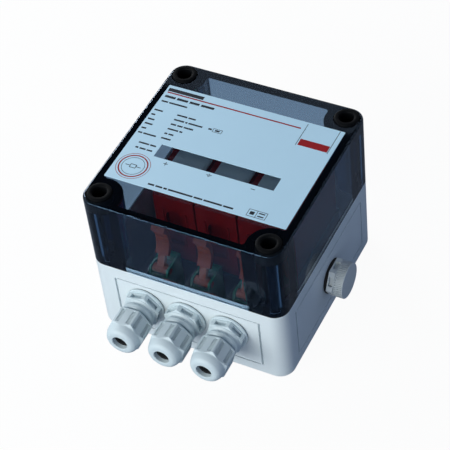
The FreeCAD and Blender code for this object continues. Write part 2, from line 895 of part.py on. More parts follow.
def make_module_plate(left):
    """The light marking plate, which follows the nose's round and leaves a red strip beside it."""
    right = left + module_width
    bend = right - module_nose_round
    axis = module_nose_top - module_nose_round
    front = nose_front + plate_front_margin
    back = nose_back - plate_back_margin
    outer = module_nose_round + plate_thickness
    shape = block(left + plate_bar, bend, front, back, module_nose_top, axis + outer)
    curve = cross_cylinder(outer, bend, axis, front, back)
    curve = curve.cut(cross_cylinder(module_nose_round, bend, axis, front, back))
    return shape.fuse(curve.common(block(bend, right - plate_margin, front, back, axis, axis + outer)))


def make_module_blades(left):
    """The two contact blades under a module."""
    middle = left + module_width / 2
    blades = []
    for y in (-blade_place, blade_place):
        blade = block(
            middle - blade_length / 2, middle + blade_length / 2,
            y - blade_thickness / 2, y + blade_thickness / 2,
            module_low - blade_depth, module_low,
        )
        corners = [line for line in blade.Edges if line.BoundBox.ZMax < module_low - blade_depth + 0.01]
        corners = [line for line in corners if line.BoundBox.XLength > blade_thickness * 2]
        blades.append(blade.makeChamfer(blade_thickness / 4, corners))
    return Part.makeCompound(blades)


def make_terminal(middle):
    """A terminal block: a foot on the board, an overhanging nose, and two cheeks for the lever."""
    left = middle - terminal_width / 2
    right = middle + terminal_width / 2
    overhang = board_top + terminal_overhang
    shape = side_slab((
        (terminal_back, board_top),
        (terminal_front + terminal_nose, board_top),
        (terminal_front + terminal_nose, overhang),
        (terminal_front, overhang),
        (terminal_front, terminal_top - terminal_nose_drop),
        (terminal_front + terminal_nose_drop / 2, terminal_top),
        (terminal_back, terminal_top),
    ), left, right)
    chamber_left = left + terminal_cheek
    chamber_right = right - terminal_cheek
    chamber_front = terminal_front + terminal_front_wall
    chamber = block(chamber_left, chamber_right, chamber_front, chamber_back, chamber_floor, terminal_top)
    sill_low = board_top + terminal_sill
    sill = block(chamber_left, chamber_right, terminal_front, chamber_front, sill_low, terminal_top)
    entry_low = chamber_floor + wire_entry_rise
    entry = block(
        middle - wire_entry_width / 2, middle + wire_entry_width / 2,
        terminal_front, chamber_front,
        entry_low, entry_low + wire_entry_height,
    )
    pivot = cross_rod(pivot_radius + pivot_gap, terminal_width, middle)
    return shape.cut([chamber, sill, entry, pivot])


def cross_rod(radius, length, middle):
    """A cylinder along X on a lever's pivot line."""
    return Part.makeCylinder(radius, length, vec(middle - length / 2, pivot_y, pivot_z), vec(1, 0, 0))


def lever_arc(radius, angle):
    """A point on an arc about the grip's centre, in the side view."""
    turn = math.radians(angle)
    centre_y = pivot_y - lever_grip_forward
    centre_z = pivot_z + lever_grip_up
    return vec(0, centre_y + radius * math.cos(turn), centre_z + radius * math.sin(turn))


def make_lever(middle):
    """A release lever: hub with two trunnions, a narrow arm and toe, and a curved ridged grip."""
    inner = lever_grip_radius - lever_thickness / 2
    outer = lever_grip_radius + lever_thickness / 2
    low = lever_grip_low_angle
    high = lever_grip_high_angle
    mean = (low + high) / 2
    grip_wire = Part.Wire([
        Part.Arc(lever_arc(inner, low), lever_arc(inner, mean), lever_arc(inner, high)).toShape(),
        Part.makeLine(lever_arc(inner, high), lever_arc(outer, high)),
        Part.Arc(lever_arc(outer, high), lever_arc(outer, mean), lever_arc(outer, low)).toShape(),
        Part.makeLine(lever_arc(outer, low), lever_arc(inner, low)),
    ])
    to_side = vec(middle - lever_width / 2, 0, 0)
    grip = Part.Face(grip_wire).extrude(vec(lever_width, 0, 0)).translated(to_side)
    ridges = []
    for angle in lever_ridge_angles:
        start = lever_arc(inner, angle) + to_side
        ridges.append(Part.makeCylinder(lever_ridge_radius, lever_width, start, vec(1, 0, 0)))
    arm_left = middle - lever_arm_width / 2
    low_inner = lever_arc(inner, low + 3)
    low_outer = lever_arc(outer, low + 3)
    arm = side_slab((
        (pivot_y - lever_hub_radius * 0.7, pivot_z),
        (low_inner.y, low_inner.z),
        (low_outer.y, low_outer.z),
        (pivot_y + lever_hub_radius * 0.9, pivot_z + lever_hub_radius * 0.4),
    ), arm_left, arm_left + lever_arm_width)
    toe = side_slab((
        (pivot_y, pivot_z + lever_hub_radius * 0.7),
        (pivot_y, pivot_z - lever_hub_radius * 0.9),
        (pivot_y + lever_toe_reach, pivot_z - lever_hub_radius * 0.6),
        (pivot_y + lever_toe_reach, pivot_z + lever_hub_radius * 0.1),
    ), arm_left, arm_left + lever_arm_width)
    hub_width = terminal_width - 2 * terminal_cheek - 4 * pivot_gap
    hub = cross_rod(lever_hub_radius, hub_width, middle)
    trunnions = cross_rod(pivot_radius, terminal_width, middle)
    return grip.fuse(ridges + [arm, toe, hub, trunnions]).removeSplitter()


def make_clamp_spring(middle):
    """A leaf spring folded from strip, which lies on the chamber's floor under the lever's toe."""
    front = terminal_front + terminal_front_wall + clamp_front_gap
    back = chamber_back - clamp_front_gap
    tip = front + 2 * clamp_strip
    low = chamber_floor
    high = low + clamp_height
    return side_slab((
        (front, low),
        (back, low),
        (back, high),
        (tip, high - clamp_drop),
        (tip, high - clamp_drop - clamp_strip),
        (back - clamp_strip, high - clamp_strip),
        (back - clamp_strip, low + clamp_strip),
        (front, low + clamp_strip),
    ), middle - clamp_width / 2, middle + clamp_width / 2)


def build():
    """Make every piece and write it."""
    os.makedirs("parts", exist_ok=True)
    save("enclosure_base", make_base())
    save("lid_seal", make_lid_seal())
    save("lid", make_lid())
    save("lid_label", make_label())
    for number, screw in enumerate(at_posts(make_lid_screw()), start=1):
        save("lid_screw_%d" % number, screw)
    for number, x in enumerate(gland_places, start=1):
        save("gland_washer_%d" % number, to_front_wall(make_gland_washer(), x))
        save("gland_body_%d" % number, to_front_wall(make_gland_body(gland_hex_turns[number - 1]), x))
        save("gland_seal_%d" % number, to_front_wall(make_gland_seal(), x))
        save("dome_nut_%d" % number, to_front_wall(make_dome_nut(nut_hex_turns[number - 1]), x))
        save("gland_lock_nut_%d" % number, to_front_wall(make_lock_nut(lock_nut_turn), x))
    save("vent_seal", to_right_wall(make_vent_seal()))
    save("vent_body", to_right_wall(make_vent_body()))
    save("vent_membrane", to_right_wall(make_vent_membrane()))
    save("vent_cap", to_right_wall(make_vent_cap()))
    save("vent_lock_nut", to_right_wall(make_lock_nut(lock_nut_turn)))
    save("circuit_board", make_board())
    save("board_screws", make_board_screws())
    save("module_socket", make_socket())
    for number, left in enumerate(module_lefts, start=1):
        save("surge_module_%d" % number, make_module(left))
        save("module_plate_%d" % number, make_module_plate(left))
        save("module_blades_%d" % number, make_module_blades(left))
    for number, middle in enumerate(terminal_middles, start=1):
        save("terminal_block_%d" % number, make_terminal(middle))
        save("release_lever_%d" % number, make_lever(middle))
        save("clamp_spring_%d" % number, make_clamp_spring(middle))


build()
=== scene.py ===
import bmesh
import bpy
import math
from mathutils import Matrix, Quaternion, Vector


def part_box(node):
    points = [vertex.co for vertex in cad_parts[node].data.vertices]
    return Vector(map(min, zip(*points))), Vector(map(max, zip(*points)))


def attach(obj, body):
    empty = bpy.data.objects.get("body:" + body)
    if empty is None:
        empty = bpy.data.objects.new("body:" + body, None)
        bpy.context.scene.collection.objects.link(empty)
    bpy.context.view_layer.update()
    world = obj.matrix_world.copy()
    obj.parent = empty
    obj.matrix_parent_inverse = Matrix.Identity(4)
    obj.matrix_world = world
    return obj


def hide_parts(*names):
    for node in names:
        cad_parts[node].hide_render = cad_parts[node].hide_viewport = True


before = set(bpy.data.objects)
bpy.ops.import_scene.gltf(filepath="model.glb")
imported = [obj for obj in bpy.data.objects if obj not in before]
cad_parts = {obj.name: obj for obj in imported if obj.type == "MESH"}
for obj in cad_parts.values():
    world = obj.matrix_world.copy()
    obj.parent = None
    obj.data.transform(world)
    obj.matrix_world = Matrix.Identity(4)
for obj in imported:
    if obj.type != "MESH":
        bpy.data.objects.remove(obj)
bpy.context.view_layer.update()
mm = 0.001

# The camera: it stands high in front of the box's right corner and looks down through a long
# lens, held slightly askew.
view_azimuth = math.radians(31.65)
view_elevation = math.radians(46.64)
view_roll = math.radians(-7.35)
view_distance = 741.3 * mm
view_target = Vector((0, 0, 40.9 * mm))
view_aside = Vector((-3.1 * mm, -4.2 * mm, 0))
lens_length = 132.9

camera_data = bpy.data.cameras.new("Camera")
camera_data.lens = lens_length
camera_data.sensor_width = 36
camera_data.clip_start = 0.01
camera = bpy.data.objects.new("Camera", camera_data)
bpy.context.scene.collection.objects.link(camera)
level_share = math.cos(view_elevation)
backwards = Vector((
    math.sin(view_azimuth) * level_share,
    -math.cos(view_azimuth) * level_share,
    math.sin(view_elevation),
))
turn = backwards.to_track_quat("Z", "Y") @ Quaternion((0, 0, 1), view_roll)
camera.rotation_mode = "QUATERNION"
camera.rotation_quaternion = turn
camera.location = view_target + backwards * view_distance + turn @ view_aside
bpy.context.scene.camera = camera
bpy.context.scene.view_settings.view_transform = "Standard"


# The studio: a pale floor, a wide soft lamp in front and to the left, a weaker one behind,
# and four upright white walls under a dim ceiling, which the lens, gloss and glass see.
def light_colour(red, green, blue):
    """A colour as it looks on a screen, in levels up to 255, turned into amounts of light."""
    levels = [value / 255 for value in (red, green, blue)]
    amounts = [v / 12.92 if v < 0.04 else ((v + 0.055) / 1.055) ** 2.4 for v in levels]
    return (*amounts, 1.0)


def seen_directly(nodes, links, in_gloss):
    """A number that is 1 for rays from the lens or through glass, less in a gloss, and else 0."""
    path = nodes.new("ShaderNodeLightPath")
    clear = nodes.new("ShaderNodeMath")
    clear.operation = "MAXIMUM"
    links.new(path.outputs["Is Camera Ray"], clear.inputs[0])
    links.new(path.outputs["Is Transmission Ray"], clear.inputs[1])
    gloss = nodes.new("ShaderNodeMath")
    gloss.operation = "MULTIPLY"
    gloss.inputs[1].default_value = in_gloss
    links.new(path.outputs["Is Glossy Ray"], gloss.inputs[0])
    either = nodes.new("ShaderNodeMath")
    either.operation = "MAXIMUM"
    links.new(clear.outputs[0], either.inputs[0])
    links.new(gloss.outputs[0], either.inputs[1])
    return either.outputs[0]


fill_low, fill_high = 0.66, 0.12
fill_high_from = 0.8
studio_fill_colour = light_colour(191, 215, 255)
wall_slope = 1.05
wall_top, ceiling_start = 0.0055, 0.0115
wall_light, ceiling_light = 1.0, 0.05
wall_in_gloss = 0.72
floor_size = 2.4
floor_drop = 0.05 * mm
paper_roughness = 0.9
floor_colour = light_colour(247, 248, 249)
floor_bounce_colour = light_colour(106, 118, 136)
floor_white, floor_in_gloss = 0.95, 0.03

world = bpy.data.worlds.new("Studio air")
world.use_nodes = True
bpy.context.scene.world = world
nodes, links = world.node_tree.nodes, world.node_tree.links
fill = nodes["Background"]
fill.inputs["Color"].default_value = studio_fill_colour
white = nodes.new("ShaderNodeBackground")
sight = nodes.new("ShaderNodeTexCoord")
direction = nodes.new("ShaderNodeSeparateXYZ")
links.new(sight.outputs["Generated"], direction.inputs[0])
overhead = nodes.new("ShaderNodeMapRange")
overhead.inputs["From Max"].default_value = fill_high_from
overhead.inputs["To Min"].default_value = fill_low
overhead.inputs["To Max"].default_value = fill_high
links.new(direction.outputs["Z"], overhead.inputs["Value"])
links.new(overhead.outputs[0], fill.inputs["Strength"])
nearest_wall = nodes.new("ShaderNodeMath")
nearest_wall.operation = "MAXIMUM"
for number, axis in enumerate(("X", "Y")):
    towards = nodes.new("ShaderNodeMath")
    towards.operation = "ABSOLUTE"
    links.new(direction.outputs[axis], towards.inputs[0])
    links.new(towards.outputs[0], nearest_wall.inputs[number])
over_wall = nodes.new("ShaderNodeMath")
over_wall.operation = "MULTIPLY_ADD"
over_wall.inputs[1].default_value = -wall_slope
links.new(nearest_wall.outputs[0], over_wall.inputs[0])
links.new(direction.outputs["Z"], over_wall.inputs[2])
backdrop = nodes.new("ShaderNodeMapRange")
backdrop.interpolation_type = "SMOOTHSTEP"
backdrop.inputs["From Min"].default_value = wall_top
backdrop.inputs["From Max"].default_value = ceiling_start
backdrop.inputs["To Min"].default_value = wall_light
backdrop.inputs["To Max"].default_value = ceiling_light
links.new(over_wall.outputs[0], backdrop.inputs["Value"])
links.new(backdrop.outputs[0], white.inputs["Strength"])
choice = nodes.new("ShaderNodeMixShader")
links.new(seen_directly(nodes, links, wall_in_gloss), choice.inputs["Fac"])
links.new(fill.outputs[0], choice.inputs[1])
links.new(white.outputs[0], choice.inputs[2])
links.new(choice.outputs[0], nodes["World Output"].inputs["Surface"])

floor_mesh = bpy.data.meshes.new("Studio floor")
bm = bmesh.new()
bmesh.ops.create_grid(bm, x_segments=1, y_segments=1, size=floor_size)
bmesh.ops.translate(bm, verts=bm.verts, vec=(0, 0, -floor_drop))
bm.to_mesh(floor_mesh)
bm.free()
floor = bpy.data.objects.new("Studio floor", floor_mesh)
bpy.context.scene.collection.objects.link(floor)
paper = bpy.data.materials.new("Studio paper")
paper.use_nodes = True
nodes, links = paper.node_tree.nodes, paper.node_tree.links
matt = nodes["Principled BSDF"]
matt.inputs["Roughness"].default_value = paper_roughness
shade = nodes.new("ShaderNodeMix")
shade.data_type = "RGBA"
shade.inputs[6].default_value = floor_bounce_colour
shade.inputs[7].default_value = floor_colour
links.new(seen_directly(nodes, links, floor_in_gloss), shade.inputs[0])
links.new(shade.outputs[2], matt.inputs["Base Color"])
glow = nodes.new("ShaderNodeEmission")
glow.inputs["Strength"].default_value = 1.0
share = nodes.new("ShaderNodeMath")
share.operation = "MULTIPLY"
share.inputs[1].default_value = floor_white
links.new(seen_directly(nodes, links, floor_in_gloss), share.inputs[0])
blend = nodes.new("ShaderNodeMixShader")
links.new(share.outputs[0], blend.inputs["Fac"])
links.new(matt.outputs[0], blend.inputs[1])
links.new(glow.outputs[0], blend.inputs[2])
links.new(blend.outputs[0], nodes["Material Output"].inputs["Surface"])
floor_mesh.materials.append(paper)


def soft_lamp(name, place, width, height, power, colour):
    """A flat soft lamp that looks at the middle of the box."""
    lamp_data = bpy.data.lights.new(name, "AREA")
    lamp_data.shape = "RECTANGLE"
    lamp_data.size = width
    lamp_data.size_y = height
    lamp_data.energy = power
    lamp_data.color = light_colour(*colour)[:3]
    lamp = bpy.data.objects.new(name, lamp_data)
    lamp.location = place
    lamp.rotation_mode = "QUATERNION"
    lamp.rotation_quaternion = (Vector(place) - view_target).to_track_quat("Z", "Y")
    bpy.context.scene.collection.objects.link(lamp)


soft_lamp("Front lamp", (-0.4, -1.08, 0.53), width=1.4, height=0.8, power=16.6, colour=(250, 254, 250))
soft_lamp("Rear lamp", (-0.9, 0.55, 0.55), width=0.6, height=0.6, power=7.5, colour=(244, 248, 250))


# Base of the box: a light grey tray injection-moulded in one piece, with solid corner posts
# for the lid screws, a grooved rim with an inner lip, and bosses for the circuit board.
base_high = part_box("enclosure_base")[1]
half_box = base_high.x
corner_radius = 7.0 * mm
base_height = 40.3 * mm
wall = 3.4 * mm
floor_thickness = 3.0 * mm
foot_round = 0.9 * mm
seam_round = 0.2 * mm
post_place = half_box - 7.2 * mm
post_radius = 9.5 * mm
post_flare = 2.0 * mm
bend_steps, flare_steps = 22, 5
land = 1.0 * mm
lip, lip_root = 1.0 * mm, 5.0 * mm
channel_depth = 1.7 * mm
panel_half = half_box - 12.0 * mm
panel_low, panel_high = 5.8 * mm, 33.8 * mm
slot_width, slot_depth = 1.0 * mm, 1.5 * mm
line_width, line_depth = 0.6 * mm, 1.5 * mm
wall_hole = 6.2 * mm
screw_hole, screw_hole_low = 2.05 * mm, 24.3 * mm
post_core, post_core_depth = 4.8 * mm, 15.0 * mm
board_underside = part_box("circuit_board")[0].z
board_boss, board_screw_hole, board_screw_reach = 3.0 * mm, 1.3 * mm, 9.0 * mm
board_screw_head = 2.4 * mm
back_left_step, back_right_step = 2.5 * mm, 8.4 * mm
fixing_side, fixing_end = 7.0 * mm, 25.0 * mm
fixing_hole, fixing_collar, fixing_rise = 2.2 * mm, 4.0 * mm, 4.0 * mm
spare = 1.0 * mm
close = 0.01 * mm
housing_colour = (221, 229, 232)
cloud_size = 1 / 70
uneven_polish = 0.15
smooth_angle = math.radians(32)


def block(bm, low, high):
    """Add a plain block between two corners."""
    low, high = Vector(low), Vector(high)
    place = Matrix.Translation((low + high) / 2) @ Matrix.Diagonal((*(high - low), 1))
    return bmesh.ops.create_cube(bm, size=1, matrix=place)["verts"]


def rod(bm, radius, low, high, x=0.0, y=0.0, steps=40):
    """Add an upright cylinder."""
    place = Matrix.Translation((x, y, (low + high) / 2))
    made = bmesh.ops.create_cone(
        bm, cap_ends=True, segments=steps, radius1=radius, radius2=radius, depth=high - low, matrix=place
    )
    return made["verts"]


def upright_edges(bm):
    """The edges of a block or prism that don't lie flat."""
    return [edge for edge in bm.edges if abs(edge.verts[0].co.z - edge.verts[1].co.z) > close]


def turned(bm, outline, steps=64):
    """Add a body turned about Z from (radius, height, edge round) points; one that starts off
    the axis is a ring."""
    corners = [bm.verts.new((radius, 0, height)) for radius, height, edge in outline]
    for first, last in zip(corners, corners[1:]):
        bm.edges.new((first, last))
    ring = outline[0][0] > 0
    if ring:
        bm.edges.new((corners[-1], corners[0]))
    rounded = [(corner, edge) for corner, (radius, height, edge) in zip(corners, outline) if edge > 0]
    chain = set(corners)
    for corner, edge in rounded:
        made = bmesh.ops.bevel(
            bm, geom=[corner], offset=edge, segments=4, profile=0.5, affect="VERTICES", material=-1
        )
        chain |= set(made["verts"])
    chain = [corner for corner in chain if corner.is_valid]
    lines = {line for corner in chain for line in corner.link_edges}
    bmesh.ops.spin(
        bm, geom=chain + list(lines), cent=(0, 0, 0), axis=(0, 0, 1),
        angle=2 * math.pi, steps=steps, use_merge=True,
    )
    bmesh.ops.remove_doubles(bm, verts=bm.verts, dist=close / 10)
    bmesh.ops.recalc_face_normals(bm, faces=bm.faces)


def cut(bm, tool, operation="DIFFERENCE"):
    """Take one body from another, or join or overlap the two."""
    pair = []
    for part in (bm, tool):
        mesh = bpy.data.meshes.new("Work")
        part.to_mesh(mesh)
        part.free()
        work = bpy.data.objects.new("Work", mesh)
        bpy.context.scene.collection.objects.link(work)
        pair.append(work)
    boolean = pair[0].modifiers.new("Cut", "BOOLEAN")
    boolean.operation = operation
    boolean.object = pair[1]
    boolean.solver = "EXACT"
    evaluated = pair[0].evaluated_get(bpy.context.evaluated_depsgraph_get())
    mesh = bpy.data.meshes.new_from_object(evaluated)
    result = bmesh.new()
    result.from_mesh(mesh)
    bpy.data.meshes.remove(mesh)
    for work in pair:
        bpy.data.meshes.remove(work.data)
    return result


def rounded_block(half, radius, low, high, low_round, high_round):
    """The box's outside: a block with rounded corners and softened ends."""
    bm = bmesh.new()
    block(bm, (-half, -half, low), (half, half, high))
    bmesh.ops.bevel(
        bm, geom=upright_edges(bm), offset=radius, segments=12, profile=0.5, affect="EDGES", material=-1
    )
    for level, size in ((low, low_round), (high, high_round)):
        rim = [edge for edge in bm.edges if all(abs(end.co.z - level) < close for end in edge.verts)]
        bmesh.ops.bevel(bm, geom=rim, offset=size, segments=4, profile=0.5, affect="EDGES", material=-1)
    return bm


def sealed_outline(bm, inset, height):
    """Add the line that keeps one distance from the sides and bends round the four posts."""
    half = half_box - inset
    around = post_radius + inset - wall
    flare = post_flare + wall - inset
    rise = half - post_place - flare
    run = math.sqrt((around + flare) ** 2 - rise ** 2)
    lean = math.atan2(rise, run)
    end = bm.verts.new((post_place - run, half, height))
    first = end
    for quarter in range(4):
        about = Matrix.Rotation(-quarter * math.pi / 2, 3, "Z")
        bends = (
            (Vector((post_place - run, half - flare, 0)), -math.pi / 2 - lean, flare_steps),
            (Vector((post_place, post_place, 0)), math.pi / 2 + 2 * lean, bend_steps),
            (Vector((half - flare, post_place - run, 0)), -math.pi / 2 - lean, flare_steps),
        )
        for centre, angle, steps in bends:
            made = bmesh.ops.spin(
                bm, geom=[end], cent=about @ centre, axis=(0, 0, 1), angle=angle, steps=steps
            )
            end = [item for item in made["geom_last"] if isinstance(item, bmesh.types.BMVert)][0]
        if quarter < 3:
            following = Matrix.Rotation(-(quarter + 1) * math.pi / 2, 3, "Z")
            corner = bm.verts.new(following @ Vector((post_place - run, half, height)))
            bm.edges.new((end, corner))
            end = corner
    bm.edges.new((end, first))


def sealed_block(inset, low, high, draft=0.0):
    """A solid inside the sealed outline, which may narrow by a draft on its way up."""
    bm = bmesh.new()
    sealed_outline(bm, inset, low)
    below = list(bm.edges)
    sealed_outline(bm, inset + draft, high)
    above = [edge for edge in bm.edges if edge not in set(below)]
    bmesh.ops.bridge_loops(bm, edges=below + above)
    bmesh.ops.edgeloop_fill(bm, edges=below)
    bmesh.ops.edgeloop_fill(bm, edges=above)
    bmesh.ops.recalc_face_normals(bm, faces=bm.faces)
    return bm


def corner_places(reach_x, reach_y):
    """The four places that lie as far to the left as right, and as far in front as behind."""
    return [(x, y) for x in (-reach_x, reach_x) for y in (-reach_y, reach_y)]


def moulded(name, colour, roughness, grain=0.35 * mm, depth=0.012 * mm, uneven=0.05, gloss=0.5):
    """A moulded plastic with a fine grain in its skin and a slight unevenness of tone and polish."""
    material = bpy.data.materials.new(name)
    material.use_nodes = True
    nodes, links = material.node_tree.nodes, material.node_tree.links
    shader = nodes["Principled BSDF"]
    shader.inputs["Specular IOR Level"].default_value = gloss
    place = nodes.new("ShaderNodeTexCoord")
    cloud = nodes.new("ShaderNodeTexNoise")
    cloud.inputs["Scale"].default_value = 1 / cloud_size
    cloud.inputs["Detail"].default_value = 4
    links.new(place.outputs["Object"], cloud.inputs["Vector"])
    tones = nodes.new("ShaderNodeMix")
    tones.data_type = "RGBA"
    plain = light_colour(*colour)
    tones.inputs[6].default_value = [value * (1 - uneven) for value in plain[:3]] + [1]
    tones.inputs[7].default_value = [min(1, value * (1 + uneven)) for value in plain[:3]] + [1]
    links.new(cloud.outputs[0], tones.inputs[0])
    links.new(tones.outputs[2], shader.inputs["Base Color"])
    polish = nodes.new("ShaderNodeMapRange")
    polish.inputs["To Min"].default_value = roughness * (1 - uneven_polish)
    polish.inputs["To Max"].default_value = min(1, roughness * (1 + uneven_polish))
    links.new(cloud.outputs[0], polish.inputs["Value"])
    links.new(polish.outputs[0], shader.inputs["Roughness"])
    skin = nodes.new("ShaderNodeTexNoise")
    skin.inputs["Scale"].default_value = 1 / grain
    skin.inputs["Detail"].default_value = 2
    links.new(place.outputs["Object"], skin.inputs["Vector"])
    bump = nodes.new("ShaderNodeBump")
    bump.inputs["Strength"].default_value = 1.0
    bump.inputs["Distance"].default_value = depth
    links.new(skin.outputs[0], bump.inputs["Height"])
    links.new(bump.outputs[0], shader.inputs["Normal"])
    return material


def finish(name, bm, material, body, replaced):
    """Make the finished piece, give it its place on a body and hide what it stands for."""
    mesh = bpy.data.meshes.new(name)
    bm.to_mesh(mesh)
    bm.free()
    mesh.shade_smooth()
    mesh.set_sharp_from_angle(angle=smooth_angle)
    mesh.materials.clear()
    mesh.materials.append(material)
    piece = bpy.data.objects.new(name, mesh)
    bpy.context.scene.collection.objects.link(piece)
    even = piece.modifiers.new("Even shading", "WEIGHTED_NORMAL")
    even.keep_sharp = True
    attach(piece, body)
    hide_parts(*replaced)
    return piece


tray = rounded_block(half_box, corner_radius, 0, base_height, foot_round, seam_round)
tray = cut(tray, sealed_block(land, base_height - channel_depth, base_height + spare))
tray = cut(tray, sealed_block(wall - lip, base_height - lip_root, base_high.z), "UNION")
tray = cut(tray, sealed_block(wall, floor_thickness, base_high.z + spare))
bosses = bmesh.new()
screws_low, screws_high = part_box("board_screws")
left, front = screws_low.x + board_screw_head, screws_low.y + board_screw_head
right, back = screws_high.x - board_screw_head, screws_high.y - board_screw_head
board_screw_places = (
    (left, front),
    (right, front),
    (left + back_left_step, back),
    (right - back_right_step, back),
)
fixing_places = corner_places(half_box - fixing_side, half_box - fixing_end)
for x, y in board_screw_places:
    rod(bosses, board_boss, floor_thickness / 2, board_underside, x, y)
for x, y in fixing_places:
    rod(bosses, fixing_collar, floor_thickness / 2, floor_thickness + fixing_rise, x, y)
tray = cut(tray, bosses, "UNION")
holes = bmesh.new()
for x, y in board_screw_places:
    rod(holes, board_screw_hole, board_underside - board_screw_reach, board_underside + spare, x, y, 20)
for x, y in fixing_places:
    rod(holes, fixing_hole, -spare, floor_thickness + fixing_rise + spare, x, y)
for x, y in corner_places(post_place, post_place):
    rod(holes, screw_hole, screw_hole_low, base_height + spare, x, y, 24)
    rod(holes, post_core, -spare, post_core_depth, x, y)
gland_middles = []
for number in (1, 2, 3):
    low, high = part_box("gland_washer_%d" % number)
    gland_middles.append(((low.x + high.x) / 2, (low.z + high.z) / 2))
low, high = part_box("vent_seal")
vent_middle = ((low.y + high.y) / 2, (low.z + high.z) / 2)
to_front = Matrix.Rotation(math.pi / 2, 4, "X")
to_right = Matrix.Rotation(math.radians(120), 4, Vector((1, 1, 1)))
for x, z in gland_middles:
    made = rod(holes, wall_hole, -2 * wall, wall)
    bmesh.ops.transform(holes, verts=made, matrix=Matrix.Translation((x, -half_box, z)) @ to_front)
made = rod(holes, wall_hole, -2 * wall, wall)
bmesh.ops.transform(holes, verts=made, matrix=Matrix.Translation((half_box, *vent_middle)) @ to_right)
for quarter in range(4):
    marks = []
    for x in (-panel_half, panel_half):
        marks += block(
            holes,
            (x - slot_width / 2, -half_box - spare, panel_low),
            (x + slot_width / 2, -half_box + slot_depth, panel_high),
        )
    for z in (panel_low, panel_high):
        marks += block(
            holes,
            (-panel_half + slot_width, -half_box - spare, z - line_width / 2),
            (panel_half - slot_width, -half_box + line_depth, z + line_width / 2),
        )
    side = Matrix.Rotation(quarter * math.pi / 2, 3, "Z")
    bmesh.ops.rotate(holes, verts=marks, cent=(0, 0, 0), matrix=side)
tray = cut(tray, holes)
housing = moulded("Light grey housing plastic", housing_colour, 0.42)
finish("Base_tray", tray, housing, "base", ["enclosure_base"])


# Seal: a cord of black closed-cell foam, laid in the groove of the base's rim and pressed
# flat by the lid's tongue, so that the box keeps water out.
def carry_over(node, material):
    """Give a piece that keeps its given shape its material."""
    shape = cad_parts[node]
    for place in shape.material_slots:
        place.material = material


foam_colour = (30, 31, 32)
foam = moulded("Black foam", foam_colour, 0.9, grain=0.5 * mm, depth=0.08 * mm, uneven=0.25, gloss=0.2)
carry_over("lid_seal", foam)


# Lid: a deep hood moulded in clear smoked plastic that darkens with thickness. Its four solid
# columns are counterbored for the screws, and the counterbores' walls carry painted shade: a
# near-black material that hides the light they would reflect through the corners.
lid_low, lid_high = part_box("lid")
roof = 2.2 * mm
lid_draft = 0.6 * mm
lid_edge_round = 1.2 * mm
tongue_low = lid_low.z
fit_gap = 0.2 * mm
head_hole = 5.9 * mm
shank_hole = 2.3 * mm
screw_low, screw_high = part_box("lid_screw_1")
screw_seat = screw_high.z - 7.5 * mm
hood_polish, hood_refraction = 0.02, 1.5
gloss_tint = (0.3, 0.52, 0.86, 1)
smoke_density = 355
smoke_colour = (0.11, 0.32, 0.505, 1)
# Painted shade for the counterbore walls: a near-black colour that hides their reflected light.
counterbore_painted_shade_colour = (8, 10, 13)

hood = rounded_block(half_box, corner_radius, base_height, lid_high.z, seam_round, lid_edge_round)
hood = cut(hood, sealed_block(land + fit_gap, tongue_low, base_height + spare), "UNION")
hood = cut(hood, sealed_block(wall - lip - fit_gap, tongue_low - spare, base_high.z + fit_gap))
hood = cut(hood, sealed_block(wall, base_height, lid_high.z - roof, lid_draft))
drill = bmesh.new()
for x, y in corner_places(post_place, post_place):
    rod(drill, head_hole, screw_seat, lid_high.z + spare, x, y, 64)
    rod(drill, shank_hole, tongue_low - spare, screw_seat + spare, x, y, 24)
hood = cut(hood, drill)

smoked = bpy.data.materials.new("Clear smoked plastic")
smoked.use_nodes = True
nodes, links = smoked.node_tree.nodes, smoked.node_tree.links
glass = nodes["Principled BSDF"]
glass.inputs["Base Color"].default_value = (1, 1, 1, 1)
glass.inputs["Roughness"].default_value = hood_polish
glass.inputs["IOR"].default_value = hood_refraction
glass.inputs["Specular Tint"].default_value = gloss_tint
glass.inputs["Transmission Weight"].default_value = 1.0
unbent = nodes.new("ShaderNodeBsdfTransparent")
path = nodes.new("ShaderNodeLightPath")
lamps_pass = nodes.new("ShaderNodeMixShader")
links.new(path.outputs["Is Shadow Ray"], lamps_pass.inputs["Fac"])
links.new(glass.outputs[0], lamps_pass.inputs[1])
links.new(unbent.outputs[0], lamps_pass.inputs[2])
links.new(lamps_pass.outputs[0], nodes["Material Output"].inputs["Surface"])
smoke = nodes.new("ShaderNodeVolumeAbsorption")
smoke.inputs["Color"].default_value = smoke_colour
smoke.inputs["Density"].default_value = smoke_density
links.new(smoke.outputs[0], nodes["Material Output"].inputs["Volume"])
hood_piece = finish("Lid_hood", hood, smoked, "lid", ["lid"])
# Painted shade: the counterbore walls get a near-black material, so the light they would reflect through
# the corner columns does not show.
counterbore_painted_shade = moulded("Counterbore painted shade", counterbore_painted_shade_colour, 0.6, gloss=0.05)
hood_piece.data.materials.append(counterbore_painted_shade)
for face in hood_piece.data.polygons:
    middle = face.center
    distances = [math.hypot(middle.x - x, middle.y - y) for x, y in corner_places(post_place, post_place)]
    if min(distances) < head_hole + close and middle.z > screw_seat - close:
        face.material_index = 1


# Label: a printed polyester sheet, cut to shape and stuck to the roof by its own glue, with a
# long window over the modules. Its print is plain bars, frames, rings and fields of colour.
label_low, label_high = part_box("lid_label")
window_left, window_right = -28.4 * mm, 28.9 * mm
window_front, window_back = -11.8 * mm, -3.95 * mm
glue = 0.02 * mm
label_corner = 0.3 * mm
print_height = 0.03 * mm
row_step = 3.06
least_word_gap, word_gap_share = 0.5, 0.7
label_colour = (200, 234, 251)
ink_colour = (30, 36, 46)
red_ink_colour = (156, 16, 24)

